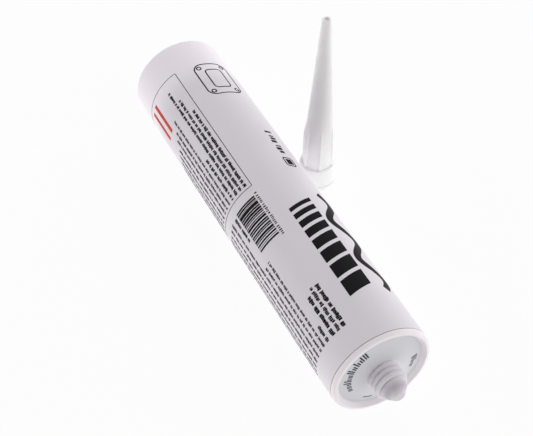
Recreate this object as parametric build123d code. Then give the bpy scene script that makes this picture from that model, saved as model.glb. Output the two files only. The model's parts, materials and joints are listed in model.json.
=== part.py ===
from build123d import *
import os

# Sealant cartridge: a moulded barrel with its fill and its piston, and the loose nozzle that screws on.
# Lengths are in millimetres. The barrel lies along Y with its neck towards -Y, and the nozzle stands
# beside it on the same surface. The origin is on that surface, in the middle of the set's outline.
# A station is a distance behind the plane of the front lip, and what stands in front of it is negative.

# Barrel tube
tube_outer_radius = 25.0
tube_wall = 1.7
barrel_length = 223.15
mouth_flare_share = 0.3
mouth_flare_depth = 3.0
rim_chamfer = 0.4

# Head of the barrel: a rounded lip round a dished floor
lip_rounding = 2.05
lip_crest_width = 0.4
lip_land = 0.05
lip_groove_width = 0.4
lip_groove_depth = 0.2
dish_wall_run = 1.5
dish_depth = 2.5
dish_rise = 3.2
floor_wall = 1.9

# Neck that takes the nozzle, and the closed nose that is cut off before use
neck_radius = 8.0
neck_wall = 3.6
neck_length = 7.7
neck_root_rounding = 1.2
neck_run_out = 0.8
nose_step = 1.1
nose_taper = 1.4
nose_taper_length = 2.3
nose_end_taper = 2.8
nose_end_length = 3.45
nose_rounding = 3.0
nose_end_rounding = 0.8
nose_wall = 1.2

# Piston: a cup with a sealing bead at each end, open to the back
piston_recess = 12.0
piston_length = 20.0
piston_wall = 1.6
piston_crown_radius = 9.0
seal_clearance = 0.06
seal_width = 2.5
seal_relief = 0.45
seal_slope = 0.8
seal_edge_rounding = 0.5
piston_rib_count = 6
piston_rib_thickness = 1.2
piston_rib_depth = 6.0

# Fill
fill_clearance = 0.05
fill_gap = 0.3

# Nozzle: a flanged collar over the neck, a ribbed stem and a long hollow cone
nozzle_height = 105.5
thread_clearance = 0.2
socket_spare = 4.0
collar_wall = 1.1
collar_draft = 0.4
collar_top_wall = 1.3
collar_rounding = 0.7
flange_width = 0.5
flange_height = 2.2
ledge_width = 1.6
stem_length = 18.0
stem_draft = 0.32
nozzle_wall = 1.1
tip_radius = 2.35
tip_wall = 1.05
tip_land = 7.0
tip_rounding = 0.7
fin_count = 6
fin_phase_degrees = 12.4
fin_thickness = 1.2
fin_setback = 1.0
fin_straight_length = 16.5
fin_top_length = 9.0
fin_top_rounding = 20.0

# Where the nozzle stands, from the barrel's axis and from the plane of the lip
nozzle_side_step = 44.34
nozzle_station = 144.7
lay_down_degrees = -90

# Sizes of the barrel that follow from the ones above
bore_radius = tube_outer_radius - tube_wall
mouth_flare = mouth_flare_share * tube_wall
groove_front = lip_rounding + lip_land
groove_back = groove_front + lip_groove_width
dish_mouth_radius = tube_outer_radius - lip_rounding - lip_crest_width
dish_radius = dish_mouth_radius - dish_wall_run
neck_bore_radius = neck_radius - neck_wall
neck_root = dish_depth - dish_rise
neck_end = neck_root - neck_length
nose_start = neck_end - neck_run_out
nose_base_radius = neck_radius - nose_step
nose_shoulder_radius = nose_base_radius - nose_taper
nose_shoulder = nose_start - nose_taper_length
nose_end_radius = nose_shoulder_radius - nose_end_taper
nose_end = nose_shoulder - nose_end_length

# Sizes of the piston that follow
seal_radius = bore_radius - seal_clearance
skirt_radius = seal_radius - seal_relief
skirt_inner_radius = skirt_radius - piston_wall
piston_back = barrel_length - piston_recess
piston_front = piston_back - piston_length

# Sizes of the nozzle that follow
socket_radius = neck_radius + thread_clearance
socket_depth = neck_length + socket_spare
collar_height = socket_depth + collar_top_wall
collar_top_radius = socket_radius + collar_wall
collar_foot_radius = collar_top_radius + collar_draft
flange_radius = collar_foot_radius + flange_width
stem_radius = collar_top_radius - ledge_width
cone_start = collar_height + stem_length
cone_radius = stem_radius - stem_draft
fin_radius = collar_top_radius - fin_setback
orifice_radius = tip_radius - tip_wall

# Places of the barrel and the nozzle about the middle of the set's outline
set_width = tube_outer_radius + nozzle_side_step + flange_radius
set_length = barrel_length - nose_end
barrel_axis_x = tube_outer_radius - set_width / 2
lip_plane_y = -set_length / 2 - nose_end
nozzle_x = barrel_axis_x + nozzle_side_step
nozzle_y = lip_plane_y + nozzle_station


def floor_station(radius):
    """Station of the dished floor's outer face, a shallow cone that rises towards the neck."""
    slope = dish_rise / (dish_radius - neck_radius)
    return dish_depth - slope * (dish_radius - radius)


def inner_floor_station(radius):
    """Station of the floor's inner face, which the fill and the piston follow."""
    return floor_station(radius) + floor_wall


def piston_face_station(radius):
    """Station of the piston's front face, parallel to the floor that it ends its travel against."""
    return piston_front + inner_floor_station(radius) - inner_floor_station(bore_radius)


def cone_radius_at(height):
    """Outer radius of the nozzle's cone at a height above its foot."""
    slope = (cone_radius - tip_radius) / (nozzle_height - cone_start)
    return cone_radius - slope * (height - cone_start)


def turned(corners):
    """Solid of revolution about Z from (radius, height, rounding) corners of a closed outline."""
    points = [(radius, height) for radius, height, rounding in corners]
    roundings = [rounding for radius, height, rounding in corners]
    outline = FilletPolyline(*points, radius=roundings, close=True)
    return revolve(Plane.XZ * make_face(outline), Axis.Z)


def radial_plate(corners, roundings, thickness, angle):
    """Flat plate in a plane through Z, turned by an angle about Z, from its (radius, height) corners."""
    outline = FilletPolyline(*corners, radius=roundings, close=True)
    plate = extrude(Plane.XZ * make_face(outline), amount=thickness / 2, both=True)
    return Rot(Z=angle) * plate


def laid_down(solid):
    """Turns a piece from its own axis, Z, to the barrel's, which lies on the surface along Y."""
    return Pos(barrel_axis_x, lip_plane_y, tube_outer_radius) * Rot(X=lay_down_degrees) * solid


def make_barrel():
    """Tube, lip, dished floor, neck and closed nose, moulded as one."""
    outside = [
        (tube_outer_radius - rim_chamfer, barrel_length, 0),
        (tube_outer_radius, barrel_length - rim_chamfer, 0),
        (tube_outer_radius, groove_back, 0),
        (tube_outer_radius - lip_groove_depth, (groove_front + groove_back) / 2, 0),
        (tube_outer_radius, groove_front, 0),
        (tube_outer_radius, 0, lip_rounding),
        (dish_mouth_radius, 0, 0),
        (dish_radius, dish_depth, 0),
        (neck_radius, neck_root, neck_root_rounding),
        (neck_radius, neck_end, 0),
        (nose_base_radius, nose_start, 0),
        (nose_shoulder_radius, nose_shoulder, nose_rounding),
        (nose_end_radius, nose_end, nose_end_rounding),
        (0, nose_end, 0),
    ]
    inside = [
        (0, nose_end + nose_wall, 0),
        (nose_end_radius - nose_wall, nose_end + nose_wall, 0),
        (neck_bore_radius, nose_shoulder, 0),
        (neck_bore_radius, inner_floor_station(neck_bore_radius), 0),
        (bore_radius, inner_floor_station(bore_radius), 0),
        (bore_radius, barrel_length - mouth_flare_depth, 0),
        (bore_radius + mouth_flare, barrel_length, 0),
    ]
    return turned(outside + inside)


def make_sealant():
    """The paste: it fills the barrel and the bore of the neck up to the piston's face."""
    paste_radius = bore_radius - fill_clearance
    core_radius = neck_bore_radius - fill_clearance
    nose_core_radius = nose_end_radius - nose_wall - fill_clearance
    nose_core_end = nose_end + nose_wall + fill_clearance
    return turned([
        (0, nose_core_end, 0),
        (nose_core_radius, nose_core_end, 0),
        (core_radius, nose_shoulder + fill_clearance, 0),
        (core_radius, inner_floor_station(core_radius) + fill_clearance, 0),
        (paste_radius, inner_floor_station(paste_radius) + fill_clearance, 0),
        (paste_radius, piston_face_station(paste_radius) - fill_gap, 0),
        (piston_crown_radius, piston_face_station(piston_crown_radius) - fill_gap, 0),
        (0, piston_face_station(piston_crown_radius) - fill_gap, 0),
    ])


def make_piston():
    """Cup with a coned face, a sealing bead at each end of its skirt and ribs behind the face."""
    front_bead_end = piston_front + seal_width
    back_bead_start = piston_back - seal_width
    web_corner = piston_face_station(skirt_inner_radius) + piston_wall
    crown = piston_face_station(piston_crown_radius)
    cup = turned([
        (seal_radius, piston_face_station(seal_radius), seal_edge_rounding),
        (seal_radius, front_bead_end, 0),
        (skirt_radius, front_bead_end + seal_slope, 0),
        (skirt_radius, back_bead_start - seal_slope, 0),
        (seal_radius, back_bead_start, 0),
        (seal_radius, piston_back, 0),
        (skirt_inner_radius, piston_back, 0),
        (skirt_inner_radius, web_corner, 0),
        (piston_crown_radius, crown + piston_wall, 0),
        (0, crown + piston_wall, 0),
        (0, crown, 0),
        (piston_crown_radius, crown, 0),
    ])
    mid_wall = piston_wall / 2
    rib_radius = skirt_inner_radius + mid_wall
    rib_corners = [
        (0, crown + mid_wall),
        (piston_crown_radius, crown + mid_wall),
        (rib_radius, piston_face_station(rib_radius) + mid_wall),
        (rib_radius, piston_front + piston_rib_depth),
        (0, piston_front + piston_rib_depth),
    ]
    sharp = [0] * len(rib_corners)
    for number in range(piston_rib_count):
        angle = 360 / piston_rib_count * number
        cup += radial_plate(rib_corners, sharp, piston_rib_thickness, angle)
    return cup


def make_nozzle():
    """Hollow nozzle: flange, collar with the socket for the neck, finned stem and tapering cone."""
    tip_land_start = nozzle_height - tip_land
    shell = turned([
        (flange_radius, 0, 0),
        (flange_radius, flange_height, 0),
        (collar_foot_radius, flange_height, 0),
        (collar_top_radius, collar_height, collar_rounding),
        (stem_radius, collar_height, 0),
        (cone_radius, cone_start, 0),
        (tip_radius, nozzle_height, tip_rounding),
        (orifice_radius, nozzle_height, 0),
        (orifice_radius, tip_land_start, 0),
        (cone_radius - nozzle_wall, cone_start, 0),
        (stem_radius - nozzle_wall, socket_depth, 0),
        (socket_radius, socket_depth, 0),
        (socket_radius, 0, 0),
    ])
    mid_wall = nozzle_wall / 2
    fin_shoulder = collar_height + fin_straight_length
    fin_top = fin_shoulder + fin_top_length
    fin_corners = [
        (stem_radius - mid_wall, collar_height - mid_wall),
        (fin_radius, collar_height - mid_wall),
        (fin_radius, fin_shoulder),
        (cone_radius_at(fin_top), fin_top),
        (cone_radius_at(fin_top) - mid_wall, fin_top),
        (cone_radius - mid_wall, cone_start),
    ]
    fin_roundings = [0, 0, fin_top_rounding, 0, 0, 0]
    for number in range(fin_count):
        angle = fin_phase_degrees + 360 / fin_count * number
        shell += radial_plate(fin_corners, fin_roundings, fin_thickness, angle)
    return Pos(nozzle_x, nozzle_y, 0) * shell


pieces = {
    "barrel": laid_down(make_barrel()),
    "sealant": laid_down(make_sealant()),
    "piston": laid_down(make_piston()),
    "nozzle": make_nozzle(),
}
os.makedirs("parts", exist_ok=True)
for name, piece in pieces.items():
    piece.label = name
    export_step(piece, f"parts/{name}.step")
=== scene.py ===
"""Looks of a sealant cartridge: its barrel, nozzle, piston and fill, the print on it, and a white stage."""

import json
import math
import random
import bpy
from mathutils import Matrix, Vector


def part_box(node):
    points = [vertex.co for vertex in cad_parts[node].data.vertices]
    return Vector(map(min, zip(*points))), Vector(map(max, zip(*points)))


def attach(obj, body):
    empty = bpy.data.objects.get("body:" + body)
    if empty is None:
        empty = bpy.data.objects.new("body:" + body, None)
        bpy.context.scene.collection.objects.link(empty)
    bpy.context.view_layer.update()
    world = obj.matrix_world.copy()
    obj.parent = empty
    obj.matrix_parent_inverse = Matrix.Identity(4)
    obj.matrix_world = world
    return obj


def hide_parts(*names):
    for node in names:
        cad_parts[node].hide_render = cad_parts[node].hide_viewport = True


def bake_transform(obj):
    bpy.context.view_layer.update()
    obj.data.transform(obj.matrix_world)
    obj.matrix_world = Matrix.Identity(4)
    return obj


bl_info = {
    "name": "Sealant cartridge",
    "version": (1, 0, 0),
    "blender": (4, 5, 0),
    "location": "View3D > Sidebar > Cartridge",
    "description": "Models a sealant cartridge's barrel, nozzle, piston, fill and print in its CAD frame",
    "category": "Add Mesh",
}

from types import SimpleNamespace

import bmesh
import bpy
from bpy.props import FloatProperty, FloatVectorProperty, IntProperty, PointerProperty
from mathutils import Matrix, Quaternion, Vector

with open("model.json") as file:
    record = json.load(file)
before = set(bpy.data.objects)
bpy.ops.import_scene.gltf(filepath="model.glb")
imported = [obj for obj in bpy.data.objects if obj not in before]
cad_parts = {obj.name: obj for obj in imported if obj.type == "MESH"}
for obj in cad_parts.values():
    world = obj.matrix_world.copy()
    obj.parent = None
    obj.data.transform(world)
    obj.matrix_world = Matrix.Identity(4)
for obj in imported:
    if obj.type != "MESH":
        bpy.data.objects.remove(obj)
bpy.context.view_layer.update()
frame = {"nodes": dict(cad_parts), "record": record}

# Lengths are in metres. A station is a distance behind the plane of the barrel's front lip, along its axis,
# and an arc is a distance round the barrel from its top line, towards the nozzle. The upper side is where the
# neck looks up and forwards, as an angle in the barrel's own axes.
MM = 0.001
UPPER_SIDE = math.radians(-114)
MOUNTS = {mount["name"]: mount for mount in frame["record"]["mounts"]}
AXIS_X, _, AXIS_Z = MOUNTS["neck_thread"]["pos_m"]
NOZZLE_X, NOZZLE_Y, _ = MOUNTS["nozzle_socket"]["pos_m"]
BARREL_LOW, BARREL_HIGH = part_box("barrel")
NOZZLE_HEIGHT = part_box("nozzle")[1].z
PISTON_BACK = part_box("piston")[1].y
OUTER_RADIUS = AXIS_Z
NECK_RADIUS = MOUNTS["neck_thread"]["dims"]["r_mm"] * MM
SOCKET_RADIUS = MOUNTS["nozzle_socket"]["dims"]["r_mm"] * MM
SOCKET_DEPTH = MOUNTS["nozzle_socket"]["dims"]["length_mm"] * MM

# Fineness of the meshes
BARREL_STEPS = 192
NOZZLE_STEPS = 288
CORNER_SEGMENTS = 6
THREAD_ROWS = 44
RUN_OUT_ROWS = 14
FIN_ROWS = 26
VALLEY_SHARPNESS = 4.5
MERGE_DISTANCE = 0.001 * MM
SMOOTH_ANGLE = math.radians(35)
PRINT_CUT = 1.2 * MM

# Where one painted tone of the white plastic passes into the next: the lip's painted light from inside to
# outside the dish's edge, and the fill's painted shade from in front of the piston's face to behind it
RING_FADE = (0.2 * MM, 0.4 * MM)
PISTON_FADE = (6 * MM, 14 * MM)

# Grain of screen printed and of sprayed ink
SCREEN_GRAIN = 0.6 * MM
SPRAY_GRAIN = 0.4 * MM


def linear(code):
    """Linear colour of an sRGB hex code."""
    channels = [int(code[place:place + 2], 16) / 255 for place in (1, 3, 5)]
    return [c / 12.92 if c <= 0.04045 else ((c + 0.055) / 1.055) ** 2.4 for c in channels]


def length(name, description, millimetres):
    """Setting for a length, kept in metres."""
    return FloatProperty(
        name=name,
        description=description,
        default=millimetres * MM,
        min=0.0,
        precision=5,
        subtype="DISTANCE",
        unit="LENGTH",
    )


def angle(name, description, degrees):
    """Setting for an angle, kept in radians."""
    return FloatProperty(name=name, description=description, default=math.radians(degrees), subtype="ANGLE")


def colour(name, description, code):
    """Setting for a colour, from its sRGB hex code."""
    return FloatVectorProperty(
        name=name,
        description=description,
        default=linear(code),
        min=0.0,
        max=1.0,
        subtype="COLOR",
    )


def strength(name, description, value):
    """Setting for the strength of a light that stands all round or as a soft box."""
    return FloatProperty(name=name, description=description, default=value, min=0.0)


class CartridgeBarrelSettings(bpy.types.PropertyGroup):
    """Sizes and colours of the barrel."""

    tube_wall: length("Tube wall", "Thickness of the barrel's wall", 1.7)
    mouth_flare: length("Mouth flare", "Widening of the bore at the open back", 0.51)
    mouth_flare_depth: length("Flare depth", "Depth of that widening", 3.0)
    rim_rounding: length("Rim rounding", "Rounding of the back rim's outer edge", 0.4)
    lip_rounding: length("Lip rounding", "Rounding of the front lip", 2.05)
    lip_crest_width: length("Lip crest", "Flat width on top of the lip", 0.4)
    lip_inner_rounding: length("Lip inner rounding", "Rounding of the lip's inner edge", 0.3)
    lip_land: length("Lip land", "Straight run between the lip's rounding and its groove", 0.05)
    groove_width: length("Groove width", "Width of the parting groove behind the lip", 0.4)
    groove_depth: length("Groove depth", "Depth of the parting groove", 0.4)
    dish_wall_run: length("Dish wall run", "How far the dish narrows to its floor", 1.5)
    dish_depth: length("Dish depth", "Depth of the dish at its edge", 2.5)
    dish_rise: length("Dish rise", "Rise of the dish's floor towards the neck", 3.2)
    dish_corner_rounding: length("Dish corner", "Rounding between the dish's wall and floor", 0.6)
    floor_wall: length("Floor wall", "Thickness of the dished floor", 1.9)
    neck_bore: length("Neck bore", "Radius of the neck's bore", 4.4)
    neck_length: length("Neck length", "Length of the threaded neck", 7.7)
    neck_root_rounding: length("Neck root", "Rounding at the foot of the neck", 1.2)
    neck_run_out: length("Neck run-out", "Length of the step from the neck to the nose", 0.8)
    nose_step: length("Nose step", "Step in radius from the neck to the nose", 1.1)
    nose_taper: length("Nose taper", "Taper of the nose's first stretch", 1.4)
    nose_taper_length: length("Nose taper length", "Length of the nose's first stretch", 2.3)
    nose_end_taper: length("Nose end taper", "Taper of the nose's second stretch", 2.8)
    nose_end_length: length("Nose end length", "Length of the nose's second stretch", 3.45)
    nose_rounding: length("Nose rounding", "Rounding between the nose's stretches", 3.0)
    nose_end_rounding: length("Nose end rounding", "Rounding of the nose's end", 0.8)
    nose_wall: length("Nose wall", "Thickness of the closed nose", 1.2)
    thread_pitch: length("Thread pitch", "Advance of the neck's thread in one turn", 2.8)
    thread_depth: length("Thread depth", "Depth of the neck's thread", 1.2)
    thread_fade: length("Thread fade", "Length over which the thread runs out at each end", 0.6)
    thread_valley: length("Thread valley", "Station in front of the lip of a valley on the upper side", 3.4)
    # Painted shade and painted light: the filled colour is painted greyer for the dark fill seen through the
    # wall, and the empty colour is painted lighter for light that comes through the wall behind the piston
    colour_painted_fill_shade: colour("Filled colour", "Wall with the dark fill behind it", "#E5DFE7")
    colour_painted_empty_light: colour("Empty colour", "Wall with nothing dark behind it", "#FBF3FB")
    colour_dish: colour("Dish colour", "Dished floor inside the lip", "#DBDBE0")
    colour_neck: colour("Neck colour", "Threaded neck", "#E2DDE4")
    colour_nose: colour("Nose colour", "Thin closed nose at its foot and its end", "#EFE8F0")
    # Painted shade: the core colour is painted darker for the dark fill seen through the thin nose
    colour_painted_core_shade: colour("Core colour", "Nose where the fill is closest behind its skin", "#DACEDC")
    core_reach: length("Core reach", "Distance along the nose over which the core fades", 2.4)
    # Painted light: the lip colour is painted lighter for light that scatters through the solid ring
    colour_painted_lip_light: colour("Lip colour", "Solid ring of the front lip", "#FCF4F8")
    colour_groove: colour("Groove colour", "Shade in the parting groove", "#BDB4C0")
    nose_clearness: FloatProperty(
        name="Nose clearness",
        description="Share of the light that goes through the thin nose unscattered",
        default=0.2,
        min=0.0,
        max=1.0,
        subtype="FACTOR",
    )


class CartridgeNozzleSettings(bpy.types.PropertyGroup):
    """Sizes and colour of the nozzle."""

    collar_wall: length("Collar wall", "Wall of the collar at its top", 1.1)
    collar_draft: length("Collar draft", "Widening of the collar towards its foot", 0.4)
    collar_top_wall: length("Collar top", "Thickness of the collar's top", 1.3)
    collar_rounding: length("Collar rounding", "Rounding of the collar's top edge", 0.7)
    flange_width: length("Flange width", "How far the flange stands out", 0.5)
    flange_height: length("Flange height", "Height of the flange", 2.2)
    flange_rounding: length("Flange rounding", "Rounding of the flange's edges", 0.25)
    ledge_width: length("Ledge width", "Step from the collar's top to the stem", 1.6)
    stem_length: length("Stem length", "Length of the stem below the cone", 18.0)
    stem_draft: length("Stem draft", "Taper of the stem", 0.32)
    wall: length("Wall", "Wall of the stem and the cone", 1.1)
    tip_radius: length("Tip radius", "Outer radius of the tip", 2.35)
    tip_wall: length("Tip wall", "Wall of the tip", 1.05)
    tip_land: length("Tip land", "Length of the straight outlet", 7.0)
    tip_rounding: length("Tip rounding", "Rounding of the tip's edge", 0.7)
    fin_count: IntProperty(name="Fins", description="Number of fins round the stem", default=6, min=1)
    fin_phase: angle("First fin", "Direction of the first fin", 12.4)
    fin_thickness: length("Fin thickness", "Thickness of a fin", 1.2)
    fin_setback: length("Fin setback", "Fins' outer edge inside the collar's top", 1.0)
    fin_straight: length("Fin straight", "Straight length of a fin's edge", 16.5)
    fin_top: length("Fin top", "Length over which a fin runs into the cone", 9.0)
    fin_flank: length("Fin flank", "Width of the slope at a fin's side", 0.22)
    thread_depth: length("Thread depth", "Height of the thread inside the collar", 0.75)
    spread_thin: length("Thin spread", "How far light spreads in the plastic of the thin cone", 2.5)
    spread_thick: length("Thick spread", "How far light spreads in the plastic of the thick foot", 1.0)
    colour_thin: colour("Thin colour", "Natural plastic of the nozzle's thin cone", "#F7F2F3")
    colour_thick: colour("Thick colour", "Natural plastic of the nozzle's thick foot", "#F8F6F6")


class CartridgeFillSettings(bpy.types.PropertyGroup):
    """Fit and colours of the fill and the piston."""

    clearance: length("Clearance", "Gap between the fill and the walls", 0.05)
    piston_gap: length("Piston gap", "Gap between the fill and the piston's face", 0.3)
    crown_radius: length("Crown radius", "Radius of the flat middle of the piston's face", 9.0)
    piston_length: length("Piston length", "Length of the piston's skirt", 20.0)
    paste_colour: colour("Paste", "Colour of the fill", "#17161A")
    piston_colour: colour("Piston", "Natural plastic of the piston", "#E4E2DA")


class CartridgePrintSettings(bpy.types.PropertyGroup):
    """Ink of the print."""

    ink_thickness: length("Ink thickness", "Thickness of the ink on the barrel", 0.03)
    keyline_width: length("Keyline", "Width of a thin printed line", 0.35)
    seed: IntProperty(name="Seed", description="Seed of the small marks' widths", default=11)
    black: colour("Black", "Black screen ink", "#0F0E11")
    red: colour("Red", "Red screen ink", "#CC4A3A")
    sprayed: colour("Sprayed", "Ink of the sprayed marks on the head", "#3C3E45")


class CartridgeStageSettings(bpy.types.PropertyGroup):
    """Floor, light and camera."""

    floor_colour: colour("Floor", "Colour of the floor and the background", "#FFFFFF")
    floor_size: length("Floor size", "Side of the square floor", 6000.0)
    floor_light: strength("Floor light", "Light that comes up from the floor", 1.15)
    room_light: strength("Room light", "Light from where no soft box stands", 0.02)
    right_box: strength("Right box", "Light of the large soft box on the right", 1.14)
    right_azimuth: angle("Right box azimuth", "Direction of the right box round the set", 87.6)
    right_elevation: angle("Right box elevation", "Height of the right box's middle", 17.5)
    right_core: angle("Right box core", "Angle from its middle up to which the right box is full", 68.3)
    right_edge: angle("Right box edge", "Angle from its middle at which the right box ends", 86.0)
    left_box: strength("Left box", "Light of the small soft box on the left", 2.17)
    left_azimuth: angle("Left box azimuth", "Direction of the left box round the set", -119.4)
    left_elevation: angle("Left box elevation", "Height of the left box's middle", -10.0)
    left_core: angle("Left box core", "Angle from its middle up to which the left box is full", 28.4)
    left_edge: angle("Left box edge", "Angle from its middle at which the left box ends", 54.5)
    back_lamp: FloatProperty(
        name="Back lamp",
        description="Power of the small back lamp",
        default=0.5,
        min=0.0,
        unit="POWER",
    )
    camera_distance: length("Distance", "Distance of the camera from its target", 645.75)
    camera_azimuth: angle("Azimuth", "Direction of the camera round the set", -27.599)
    camera_elevation: angle("Elevation", "Height of the camera as an angle", 45.557)
    camera_roll: angle("Roll", "Tilt of the camera about its own axis", 1.818)
    camera_lens: FloatProperty(name="Lens", description="Focal length in millimetres", default=88.69)


def barrel_places(size):
    """Radii and stations of the barrel that follow from its sizes."""
    places = SimpleNamespace()
    places.bore = OUTER_RADIUS - size.tube_wall
    places.dish_mouth = OUTER_RADIUS - size.lip_rounding - size.lip_crest_width
    places.dish = places.dish_mouth - size.dish_wall_run
    places.neck_root = size.dish_depth - size.dish_rise
    places.neck_end = places.neck_root - size.neck_length
    places.nose_start = places.neck_end - size.neck_run_out
    places.nose_base = NECK_RADIUS - size.nose_step
    places.shoulder = places.nose_start - size.nose_taper_length
    places.shoulder_radius = places.nose_base - size.nose_taper
    places.nose_end = places.shoulder - size.nose_end_length
    places.nose_end_radius = places.shoulder_radius - size.nose_end_taper
    places.lip_y = BARREL_LOW.y - places.nose_end
    places.back = BARREL_HIGH.y - places.lip_y
    return places


def floor_station(size, radius):
    """Station of the dished floor's outer face, a shallow cone that rises towards the neck."""
    places = barrel_places(size)
    slope = size.dish_rise / (places.dish - NECK_RADIUS)
    return size.dish_depth - slope * (places.dish - radius)


def outline(bm, corners, closed=False):
    """Chain of edges through (radius, height, rounding) corners, with an arc at each rounded one."""
    points = [Vector((radius, 0, height)) for radius, height, rounding in corners]
    verts = [bm.verts.new(point) for point in points]
    for first, second in zip(verts, verts[1:]):
        bm.edges.new((first, second))
    if closed:
        bm.edges.new((verts[-1], verts[0]))
    for number, vert in enumerate(verts):
        rounding = corners[number][2]
        if rounding:
            before = points[number - 1] - points[number]
            after = points[(number + 1) % len(points)] - points[number]
            bmesh.ops.bevel(
                bm,
                geom=[vert],
                offset=rounding / math.tan(before.angle(after) / 2),
                offset_type="OFFSET",
                segments=CORNER_SEGMENTS,
                profile=0.5,
                affect="VERTICES",
                material=-1,
            )


def divide(bm, low, high, inner, outer, rows):
    """Divides the outline's edges that lie between two heights and two radii."""
    edges = []
    for edge in bm.edges:
        heights = [vert.co.z for vert in edge.verts]
        radii = [vert.co.x for vert in edge.verts]
        inside = min(heights) > low - MERGE_DISTANCE and max(heights) < high + MERGE_DISTANCE
        if inside and min(radii) > inner - MERGE_DISTANCE and max(radii) < outer + MERGE_DISTANCE:
            edges.append(edge)
    longest = max(edges, key=lambda edge: edge.calc_length())
    bmesh.ops.subdivide_edges(bm, edges=[longest], cuts=rows)


def turn(bm, steps):
    """Spins the outline once round Z and closes it at the poles."""
    bmesh.ops.spin(
        bm,
        geom=bm.verts[:] + bm.edges[:],
        cent=(0, 0, 0),
        axis=(0, 0, 1),
        angle=math.tau,
        steps=steps,
        use_merge=True,
    )
    bmesh.ops.remove_doubles(bm, verts=bm.verts, dist=MERGE_DISTANCE)
    bmesh.ops.recalc_face_normals(bm, faces=bm.faces)


def eased(value):
    """Smooth step from 0 to 1."""
    share = min(1.0, max(0.0, value))
    return share * share * (3 - 2 * share)


def set_radius(vert, radius):
    """Moves a vertex to another distance from Z."""
    scale = radius / vert.co.xy.length
    vert.co.x *= scale
    vert.co.y *= scale


def cut_thread(bm, inner, outer, low, high, pitch, depth, fade, valley, valley_angle):
    """Draws a right-handed thread into the skin between two radii and two heights."""
    for vert in bm.verts:
        radius = vert.co.xy.length
        on_skin = inner - MERGE_DISTANCE < radius < outer + MERGE_DISTANCE
        if on_skin and low < vert.co.z < high:
            turned = math.atan2(vert.co.y, vert.co.x) - valley_angle
            phase = (vert.co.z - valley) / pitch - turned / math.tau
            wave = (0.5 + 0.5 * math.cos(math.tau * phase)) ** VALLEY_SHARPNESS
            run_out = eased((vert.co.z - low) / fade) * eased((high - vert.co.z) / fade)
            set_radius(vert, radius - depth * wave * run_out)


def laid_down(size):
    """Turns a piece from its own axis, Z, to the barrel's, which lies along Y."""
    place = Matrix.Translation((AXIS_X, barrel_places(size).lip_y, AXIS_Z))
    return place @ Matrix.Rotation(math.radians(-90), 4, "X")


def finish_piece(name, bm, material, body, node=None):
    """Makes an object of a mesh in place, smooth but for its sharp edges, and ties it to its body."""
    mesh = bpy.data.meshes.new(name)
    bm.to_mesh(mesh)
    bm.free()
    mesh.shade_smooth()
    mesh.set_sharp_from_angle(angle=SMOOTH_ANGLE)
    mesh.materials.append(material)
    piece = bpy.data.objects.new(name, mesh)
    bpy.context.scene.collection.objects.link(piece)
    if body:
        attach(piece, body)
    if node:
        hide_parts(node)
    return piece


def add_node(tree, kind, inputs=None, **settings):
    """Adds a node with its settings, and sets or links its inputs."""
    node = tree.nodes.new(kind)
    for name, value in settings.items():
        setattr(node, name, value)
    for key, value in (inputs or {}).items():
        if isinstance(value, bpy.types.NodeSocket):
            tree.links.new(value, node.inputs[key])
        else:
            node.inputs[key].default_value = value
    return node


def new_material(name):
    """Empty node material with its output."""
    material = bpy.data.materials.new(name)
    material.use_nodes = True
    tree = material.node_tree
    tree.nodes.clear()
    return material, tree, add_node(tree, "ShaderNodeOutputMaterial")


def rgba(values):
    """Colour with full opacity."""
    return (*values, 1.0)


def graded(tree, value, start, end, first, second):
    """Colour that runs smoothly from one to another between two values."""
    share = add_node(tree, "ShaderNodeMapRange", {
        "Value": value,
        "From Min": start,
        "From Max": end,
    }, interpolation_type="SMOOTHSTEP").outputs["Result"]
    return add_node(tree, "ShaderNodeMix", {
        "Factor": share,
        "A": rgba(first),
        "B": rgba(second),
    }, data_type="RGBA").outputs["Result"]


def mottled(tree, hue, cloud, low, high, start=0.0, end=1.0):
    """Colour that goes from a low to a high share of itself as a noise goes from its start to its end."""
    share = add_node(tree, "ShaderNodeMapRange", {
        "Value": cloud,
        "From Min": start,
        "From Max": end,
        "To Min": low,
        "To Max": high,
    }).outputs["Result"]
    return add_node(tree, "ShaderNodeVectorMath", {
        0: hue,
        "Scale": share,
    }, operation="SCALE").outputs["Vector"]


def close_surface(tree, output, sheen, low, high, inputs):
    """Ends a material in a shader whose roughness follows a noise from a low to a high value."""
    roughness = add_node(tree, "ShaderNodeMapRange", {
        "Value": sheen,
        "To Min": low,
        "To Max": high,
    }).outputs["Result"]
    shader = add_node(tree, "ShaderNodeBsdfPrincipled", {"Roughness": roughness, **inputs})
    tree.links.new(shader.outputs["BSDF"], output.inputs["Surface"])


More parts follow.
